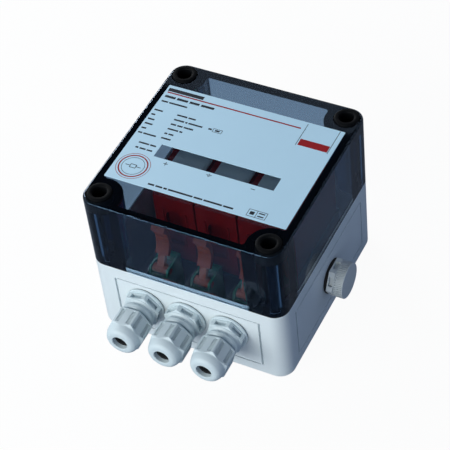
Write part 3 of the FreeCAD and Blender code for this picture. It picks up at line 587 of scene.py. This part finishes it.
sheet = bmesh.new()
block(sheet, label_low + Vector((0, 0, glue)), label_high)
bmesh.ops.bevel(
    sheet, geom=upright_edges(sheet), offset=label_corner, segments=4, profile=0.5,
    affect="EDGES", material=-1,
)
opening = bmesh.new()
block(
    opening,
    (window_left, window_front, label_low.z - spare),
    (window_right, window_back, label_high.z + spare),
)
sheet = cut(sheet, opening)
film = moulded("Label film", label_colour, 0.35, grain=1.2 * mm, depth=0.004 * mm, uneven=0.02)
finish("Label_sheet", sheet, film, "lid", ["lid_label"])


def printed(bm, left, front, right, back):
    """Add a field of print on the label, with its place in millimetres, as all print has it."""
    block(bm, (left * mm, front * mm, label_high.z), (right * mm, back * mm, label_high.z + print_height))


def printed_row(bm, left, front, height, words):
    """Add a row of print as plain bars, one a word, given as lengths and parted by gaps."""
    for length in words:
        printed(bm, left, front, left + length, front + height)
        left += length + max(least_word_gap, height * word_gap_share)


def printed_frame(bm, left, front, right, back, line):
    """Add a printed frame."""
    printed(bm, left, front, right, front + line)
    printed(bm, left, back - line, right, back)
    printed(bm, left, front + line, left + line, back - line)
    printed(bm, right - line, front + line, right, back - line)


def printed_ring(bm, x, y, outer, inner):
    """Add a printed ring."""
    ring = bmesh.new()
    low, high = label_high.z, label_high.z + print_height
    turned(ring, (
        (inner * mm, low, 0),
        (outer * mm, low, 0),
        (outer * mm, high, 0),
        (inner * mm, high, 0),
    ), 72)
    bmesh.ops.translate(ring, verts=ring.verts, vec=(x * mm, y * mm, 0))
    mesh = bpy.data.meshes.new("Work")
    ring.to_mesh(mesh)
    ring.free()
    bm.from_mesh(mesh)
    bpy.data.meshes.remove(mesh)


# The heading's bars, then two columns of rows with a framed sign beside them.
dark = bmesh.new()
printed_row(dark, -42.0, 27.6, 2.0, (17.6,))
printed_row(dark, -41.6, 23.5, 1.3, (5.2, 5.4, 4.8, 6.4))
printed_row(dark, -41.6, 20.3, 0.9, (3.2, 9.0))
left_column = ((4.2,), (2.0,), (3.2,), (3.8,), (2.3,), (2.0, 6.2))
right_column = ((5.0, 3.6), (5.0, 1.0, 6.8), (2.6, 2.6, 4.6), (5.2, 1.4), (1.4, 2.4), (4.6,))
for number, (left_words, right_words) in enumerate(zip(left_column, right_column)):
    front = 14.2 - row_step * number
    printed_row(dark, -42.0, front, 0.85, left_words)
    printed_row(dark, -30.7, front + 0.3, 0.85, right_words)
printed_row(dark, -13.8, 11.6, 0.9, (1.7,))
printed_frame(dark, -11.6, 10.9, -7.2, 13.1, 0.2)
printed_row(dark, -10.5, 11.55, 0.9, (2.2,))
# Rows left of the window and below it, and two upright rules on the right.
printed_row(dark, -38.6, -6.7, 0.85, (5.0, 2.8))
printed_row(dark, -38.6, -9.9, 0.85, (1.4, 3.0, 2.6))
printed_row(dark, -22.8, -27.9, 0.9, (3.0, 3.2, 1.6, 11.6, 4.0, 8.6, 4.6))
printed(dark, 25.75, 16.6, 26.0, 30.2)
printed(dark, 40.7, 16.4, 40.95, 31.0)
# Plus, minus and earth signs under the window.
printed(dark, -22.3, -14.35, -20.3, -14.05)
printed(dark, -21.45, -15.2, -21.15, -13.2)
printed(dark, 19.4, -14.35, 21.4, -14.05)
for level, half in enumerate((1.3, 0.8, 0.3)):
    printed(dark, -0.7 - half, -13.5 - 0.5 * level, -0.7 + half, -13.3 - 0.5 * level)
printed(dark, -0.8, -13.3, -0.6, -12.5)
# A frame of two fields in the front right corner.
printed_frame(dark, 24.0, -28.7, 32.6, -24.7, 0.2)
printed(dark, 27.9, -28.5, 28.1, -24.9)
printed(dark, 25.0, -27.6, 27.0, -25.8)
printed_row(dark, 28.8, -26.1, 0.6, (2.8,))
printed_row(dark, 28.8, -27.8, 0.6, (2.8,))
# A thin ring round the sign for an arrester.
printed_ring(dark, -33.9, -20.4, 5.2, 5.0)
printed_frame(dark, -35.4, -21.5, -32.4, -19.3, 0.3)
printed(dark, -37.6, -20.55, -35.4, -20.25)
printed(dark, -32.4, -20.55, -30.2, -20.25)
ink = moulded("Dark label print", ink_colour, 0.4, depth=0.002 * mm, uneven=0.1, gloss=0.2)
finish("Label_print_dark", dark, ink, "lid", [])

# A long rule, a field, and two rings round the arrester's sign.
red = bmesh.new()
printed(red, -41.7, 26.4, 23.9, 27.1)
printed(red, 26.6, 17.0, 40.4, 20.9)
printed_ring(red, -33.9, -20.4, 6.7, 6.1)
printed_ring(red, -33.9, -20.4, 7.7, 7.5)
red_ink = moulded("Red label print", red_ink_colour, 0.4, depth=0.002 * mm, uneven=0.06, gloss=0.2)
finish("Label_print_red", red, red_ink, "lid", [])


# Lid screws: black nylon, each long enough to reach down through the column to the base's
# post, with a wide head that holds a deep round socket and a cross recess in its floor.
head_radius = 5.6 * mm
head_round = 0.9 * mm
socket_radius = 3.2 * mm
socket_floor = screw_high.z - 5.5 * mm
shank_radius = 2.0 * mm
tip_radius, tip_length = 0.7 * mm, 1.8 * mm
recess_half, recess_side, recess_depth = 1.9 * mm, 0.45 * mm, 1.2 * mm
nylon_black = (8, 10, 13)

black_nylon = moulded("Black nylon", nylon_black, 0.55, uneven=0.2, gloss=0.05)
for number, (x, y) in enumerate(corner_places(post_place, post_place), start=1):
    screw = bmesh.new()
    turned(screw, (
        (0, screw_low.z, 0),
        (tip_radius, screw_low.z, 0),
        (shank_radius, screw_low.z + tip_length, 0.3 * mm),
        (shank_radius, screw_seat, 0),
        (head_radius, screw_seat, 0.2 * mm),
        (head_radius, screw_high.z, head_round),
        (socket_radius, screw_high.z, head_round),
        (socket_radius, socket_floor, 0.15 * mm),
        (0, socket_floor, 0),
    ))
    recess = bmesh.new()
    low, high = socket_floor - recess_depth, socket_floor + spare
    block(recess, (-recess_half, -recess_side, low), (recess_half, recess_side, high))
    crossing = bmesh.new()
    block(crossing, (-recess_side, -recess_half, low), (recess_side, recess_half, high))
    screw = cut(screw, cut(recess, crossing, "UNION"))
    bmesh.ops.translate(screw, verts=screw.verts, vec=(x, y, 0))
    name = "lid_screw_%d" % number
    finish("Screw_%d" % number, screw, black_nylon, name, [name])


# Cable glands, all of light grey nylon but for two rubber parts: a washer, a body with a
# pocketed hexagon, a sleeve, a domed nut with ribbed grip bands, and a lock nut that holds
# the gland in the wall. Heights are measured outwards from the wall.
half_hex = 8.0 * mm
hex_corner = half_hex / math.cos(math.pi / 6)
hex_edge, hex_sink = 0.3 * mm, 0.05 * mm
gland_core, vent_core, core_top = 5.8 * mm, 5.5 * mm, 8.0 * mm
spigot_end, spigot_radius = -11.0 * mm, 6.0 * mm
cable_bore, sleeve_room, sleeve_floor = 4.3 * mm, 5.3 * mm, 10.0 * mm
washer_top = 0.4 * mm
flange_radius, flange_top = 9.4 * mm, 1.4 * mm
collar_top = 5.2 * mm
waist_radius = 7.1 * mm
neck_top = 9.6 * mm
stub_radius, stub_top = 6.3 * mm, 19.0 * mm
claw_gap, claw_length, claw_gap_count = 0.9 * mm, 5.0 * mm, 4
nut_low, nut_shoulder, nut_top = 11.0 * mm, 20.2 * mm, 24.6 * mm
nut_room, sleeve_shoulder, mouth_radius, mouth_floor = 6.6 * mm, 4.6 * mm, 3.6 * mm, 22.4 * mm
gland_turns = (15.0, -18.0, 13.0)
nut_turns = (5.0, 16.0, 14.0)
pocket_width, pocket_length, pocket_depth = 5.6 * mm, 2.3 * mm, 1.5 * mm
band_place, band_width, band_depth = 2.6 * mm, 1.9 * mm, 0.2 * mm
band_low, band_high = 11.8 * mm, 19.0 * mm
groove_count, groove_depth, groove_share, groove_inset = 10, 0.9 * mm, 0.55, 0.1 * mm
gland_colour = (203, 216, 221)
washer_colour = (22, 22, 23)
sleeve_colour = (44, 46, 49)


def hexagon(low, high, reach):
    """A hexagonal prism with softened corners, the first corner towards +X."""
    bm = bmesh.new()
    place = Matrix.Translation((0, 0, (low + high) / 2)) @ Matrix.Rotation(math.pi / 2, 4, "Z")
    bmesh.ops.create_cone(
        bm, cap_ends=True, segments=6, radius1=reach, radius2=reach, depth=high - low, matrix=place
    )
    bmesh.ops.bevel(
        bm, geom=upright_edges(bm), offset=hex_edge, segments=3, profile=0.5,
        affect="EDGES", material=-1,
    )
    return bm


def flat_turn(side):
    """The turn about Z from +X to one flat of the hexagon."""
    return Matrix.Rotation(math.radians(30 + 60 * side), 3, "Z")


def pocketed_hexagon(low, high, width, length):
    """The hexagonal collar of a gland or vent, with a pocket in each flat."""
    limit = bmesh.new()
    turned(limit, (
        (0, low, 0),
        (hex_corner, low, 0.1 * mm),
        (hex_corner, high - 0.5 * mm, 0.3 * mm),
        (half_hex - 0.25 * mm, high, 0.2 * mm),
        (0, high, 0),
    ))
    collar = cut(hexagon(low - spare, high + spare, hex_corner), limit, "INTERSECT")
    pockets = bmesh.new()
    middle = (low + high) / 2
    for side in range(6):
        made = block(
            pockets,
            (half_hex - pocket_depth, -width / 2, middle - length / 2),
            (half_hex + spare, width / 2, middle + length / 2),
        )
        bmesh.ops.rotate(pockets, verts=made, cent=(0, 0, 0), matrix=flat_turn(side))
    return cut(collar, pockets)


gland = bmesh.new()
turned(gland, (
    (cable_bore, spigot_end, 0),
    (spigot_radius, spigot_end, 0.3 * mm),
    (spigot_radius, washer_top, 0),
    (flange_radius, washer_top, 0.2 * mm),
    (flange_radius, flange_top, 0.4 * mm),
    (6.5 * mm, flange_top, 0),
    (6.5 * mm, collar_top - 0.5 * mm, 0),
    (7.9 * mm, collar_top - 0.5 * mm, 0),
    (7.9 * mm, collar_top + 0.2 * mm, 0.1 * mm),
    (waist_radius, collar_top + 1.0 * mm, 0.2 * mm),
    (waist_radius, collar_top + 1.9 * mm, 0.2 * mm),
    (7.8 * mm, collar_top + 2.5 * mm, 0.3 * mm),
    (7.6 * mm, neck_top - 0.5 * mm, 0.2 * mm),
    (7.1 * mm, neck_top, 0.2 * mm),
    (stub_radius, neck_top, 0),
    (stub_radius, stub_top, 0.3 * mm),
    (sleeve_room, stub_top, 0),
    (sleeve_room, sleeve_floor, 0),
    (cable_bore, sleeve_floor, 0),
))
ring = pocketed_hexagon(flange_top - hex_sink, collar_top, pocket_width, pocket_length)
core = bmesh.new()
rod(core, gland_core, 0, core_top)
gland = cut(gland, cut(ring, core), "UNION")
for number in range(claw_gap_count):
    gap = bmesh.new()
    reach = stub_radius + spare
    block(gap, (-reach, -claw_gap / 2, stub_top - claw_length), (reach, claw_gap / 2, stub_top + spare))
    turn = Matrix.Rotation(math.pi * number / claw_gap_count, 3, "Z")
    bmesh.ops.rotate(gap, verts=gap.verts, cent=(0, 0, 0), matrix=turn)
    gland = cut(gland, gap)

envelope = bmesh.new()
turned(envelope, (
    (0, nut_low, 0),
    (hex_corner - 0.5 * mm, nut_low, 0),
    (hex_corner, nut_low + 0.5 * mm, 0),
    (hex_corner, nut_shoulder - 0.9 * mm, 0),
    (half_hex, nut_shoulder, 0.3 * mm),
    (half_hex - 0.35 * mm, nut_top - 2.3 * mm, 1.2 * mm),
    (half_hex - 1.35 * mm, nut_top - 0.6 * mm, 0.9 * mm),
    (5.4 * mm, nut_top, 0.6 * mm),
    (0, nut_top, 0),
), 96)
nut = cut(hexagon(nut_low - spare, nut_top + spare, hex_corner), envelope, "INTERSECT")
inside = bmesh.new()
turned(inside, (
    (0, nut_low - spare, 0),
    (nut_room, nut_low - spare, 0),
    (nut_room, stub_top + 0.3 * mm, 0),
    (sleeve_shoulder, mouth_floor, 0),
    (mouth_radius, mouth_floor, 0),
    (mouth_radius, nut_top - 0.25 * mm, 0),
    (mouth_radius + 0.25 * mm, nut_top, 0),
    (mouth_radius + 0.6 * mm, nut_top + spare, 0),
    (0, nut_top + spare, 0),
))
nut = cut(nut, inside)
bands, grooves = bmesh.new(), bmesh.new()
groove_pitch = (band_high - band_low) / groove_count
for side in range(6):
    for middle in (-band_place, band_place):
        half = band_width / 2
        made = block(
            bands,
            (half_hex - band_depth, middle - half, band_low),
            (half_hex + spare, middle + half, band_high),
        )
        bmesh.ops.rotate(bands, verts=made, cent=(0, 0, 0), matrix=flat_turn(side))
        half -= groove_inset
        for number in range(groove_count):
            low = band_low + (number + (1 - groove_share) / 2) * groove_pitch
            made = block(
                grooves,
                (half_hex - groove_depth, middle - half, low),
                (half_hex + spare, middle + half, low + groove_share * groove_pitch),
            )
            bmesh.ops.rotate(grooves, verts=made, cent=(0, 0, 0), matrix=flat_turn(side))
nut = cut(cut(nut, bands), grooves)

nylon = moulded("Light grey nylon", gland_colour, 0.48, depth=0.01 * mm)
black_rubber = moulded("Black rubber", washer_colour, 0.75, grain=0.6 * mm, uneven=0.2, gloss=0.3)
sleeve_rubber = moulded("Dark grey rubber", sleeve_colour, 0.8, grain=0.6 * mm, uneven=0.15, gloss=0.3)
for number, (x, z) in enumerate(gland_middles, start=1):
    place = Matrix.Translation((x, -half_box, z)) @ to_front
    body = gland.copy()
    turn = Matrix.Rotation(math.radians(gland_turns[number - 1]), 4, "Z")
    bmesh.ops.transform(body, verts=body.verts, matrix=place @ turn)
    finish("Gland_body_%d" % number, body, nylon, "base", ["gland_body_%d" % number])
    dome = nut.copy()
    turn = Matrix.Rotation(math.radians(nut_turns[number - 1]), 4, "Z")
    bmesh.ops.transform(dome, verts=dome.verts, matrix=place @ turn)
    node = "dome_nut_%d" % number
    finish("Dome_nut_%d" % number, dome, nylon, node, [node])
    carry_over("gland_washer_%d" % number, black_rubber)
    carry_over("gland_seal_%d" % number, sleeve_rubber)
    carry_over("gland_lock_nut_%d" % number, nylon)
gland.free()
nut.free()


# Vent plug: a hexagonal body of grey plastic on a rubber ring, held in the right wall by a
# lock nut, with a breathing membrane under a knurled cap that is pressed on.
vent_spigot_end, vent_spigot_radius = -8.4 * mm, 6.0 * mm
vent_bore = 3.0 * mm
vent_ring_top = 1.5 * mm
vent_hex_top = 4.7 * mm
vent_pocket_width, vent_pocket_length = 4.4 * mm, 2.0 * mm
vent_neck_radius, vent_neck_top = 6.4 * mm, 7.1 * mm
cap_radius, cap_room = 8.4 * mm, 6.45 * mm
cap_top, cap_roof = 9.0 * mm, 1.2 * mm
knurl_count = 44
knurl_depth, knurl_share = 0.5 * mm, 0.96
knurl_slant = math.radians(32)
vent_colour = (213, 218, 218)
membrane_colour = (225, 228, 230)
vent_place = Matrix.Translation((half_box, *vent_middle)) @ to_right

vent_body = bmesh.new()
turned(vent_body, (
    (vent_bore, vent_spigot_end, 0),
    (vent_spigot_radius, vent_spigot_end, 0.3 * mm),
    (vent_spigot_radius, vent_ring_top + spare, 0),
    (vent_neck_radius, vent_ring_top + spare, 0),
    (vent_neck_radius, vent_neck_top, 0.2 * mm),
    (vent_bore, vent_neck_top, 0),
))
ring = pocketed_hexagon(vent_ring_top, vent_hex_top, vent_pocket_width, vent_pocket_length)
core = bmesh.new()
rod(core, vent_core, 0, core_top)
vent_body = cut(vent_body, cut(ring, core), "UNION")
bmesh.ops.transform(vent_body, verts=vent_body.verts, matrix=vent_place)
vent_plastic = moulded("Mid grey vent plastic", vent_colour, 0.5, depth=0.01 * mm)
finish("Vent_body", vent_body, vent_plastic, "base", ["vent_body"])

cap = bmesh.new()
turned(cap, (
    (0, cap_top - cap_roof, 0),
    (cap_room, cap_top - cap_roof, 0.1 * mm),
    (cap_room, vent_hex_top, 0.1 * mm),
    (cap_radius, vent_hex_top, 0.25 * mm),
    (cap_radius, cap_top, 0.4 * mm),
    (0, cap_top, 0),
), 96)
knurls = bmesh.new()
knurl_width = math.pi * cap_radius / knurl_count
knurl_half = (cap_top - vent_hex_top) * knurl_share / 2
for number in range(knurl_count):
    made = block(
        knurls,
        (cap_radius - knurl_depth, -knurl_width / 2, -knurl_half),
        (cap_radius + knurl_depth, knurl_width / 2, knurl_half),
    )
    slant = Matrix.Rotation(knurl_slant, 3, "X")
    bmesh.ops.rotate(knurls, verts=made, cent=(0, 0, 0), matrix=slant)
    bmesh.ops.translate(knurls, verts=made, vec=(0, 0, (vent_hex_top + cap_top) / 2))
    turn = Matrix.Rotation(2 * math.pi * number / knurl_count, 3, "Z")
    bmesh.ops.rotate(knurls, verts=made, cent=(0, 0, 0), matrix=turn)
cap = cut(cap, knurls)
bmesh.ops.transform(cap, verts=cap.verts, matrix=vent_place)
finish("Vent_cap", cap, vent_plastic, "base", ["vent_cap"])
membrane = moulded("White membrane", membrane_colour, 0.85, grain=0.2 * mm, depth=0.02 * mm)
carry_over("vent_seal", black_rubber)
carry_over("vent_membrane", membrane)
carry_over("vent_lock_nut", nylon)


# Circuit board: glass-fibre laminate under green solder mask, held on the base's bosses by
# four pan-head screws of zinc-plated steel.
mask_colour = (22, 74, 48)
zinc_colour = (176, 180, 184)


def plated(name, colour, roughness, brushing):
    """A plated metal with fine turning marks."""
    material = moulded(name, colour, roughness, grain=brushing, depth=0.006 * mm, uneven=0.08)
    material.node_tree.nodes["Principled BSDF"].inputs["Metallic"].default_value = 1.0
    return material


steel = plated("Zinc-plated steel", zinc_colour, 0.32, 0.25 * mm)
laminate = moulded("Green circuit board", mask_colour, 0.35, grain=0.5 * mm, uneven=0.2)
carry_over("circuit_board", laminate)
carry_over("board_screws", steel)


# Module socket: a black moulded block on the board, with a bay for each module and two slots
# in each bay for the module's blades.
socket_colour = (22, 22, 24)
black_moulding = moulded("Black moulding", socket_colour, 0.5, uneven=0.2)
carry_over("module_socket", black_moulding)


# Surge modules: red moulded plug-in blocks with a raised nose, a light marking plate clipped
# on the nose, and tinned brass blades that plug into the socket.
module_colour = (134, 9, 7)
plate_colour = (204, 206, 206)
blade_colour = (196, 186, 150)
red_plastic = moulded("Red module plastic", module_colour, 0.42, uneven=0.08, gloss=0.2)
plate_plastic = moulded("Light grey plate", plate_colour, 0.5, gloss=0.3)
brass = plated("Tinned brass", blade_colour, 0.35, 0.3 * mm)
for number in (1, 2, 3):
    carry_over("surge_module_%d" % number, red_plastic)
    carry_over("module_plate_%d" % number, plate_plastic)
    carry_over("module_blades_%d" % number, brass)


# Spring terminals: green moulded blocks on the board, each with an orange release lever
# that presses on a folded clamp spring.
terminal_colour = (60, 140, 100)
lever_colour = (196, 70, 20)
spring_colour = (170, 172, 174)
green_plastic = moulded("Green terminal plastic", terminal_colour, 0.5)
orange_plastic = moulded("Orange lever plastic", lever_colour, 0.45, gloss=0.35)
spring_steel = plated("Spring steel", spring_colour, 0.3, 0.2 * mm)
for number in (1, 2, 3):
    carry_over("terminal_block_%d" % number, green_plastic)
    carry_over("release_lever_%d" % number, orange_plastic)
    carry_over("clamp_spring_%d" % number, spring_steel)
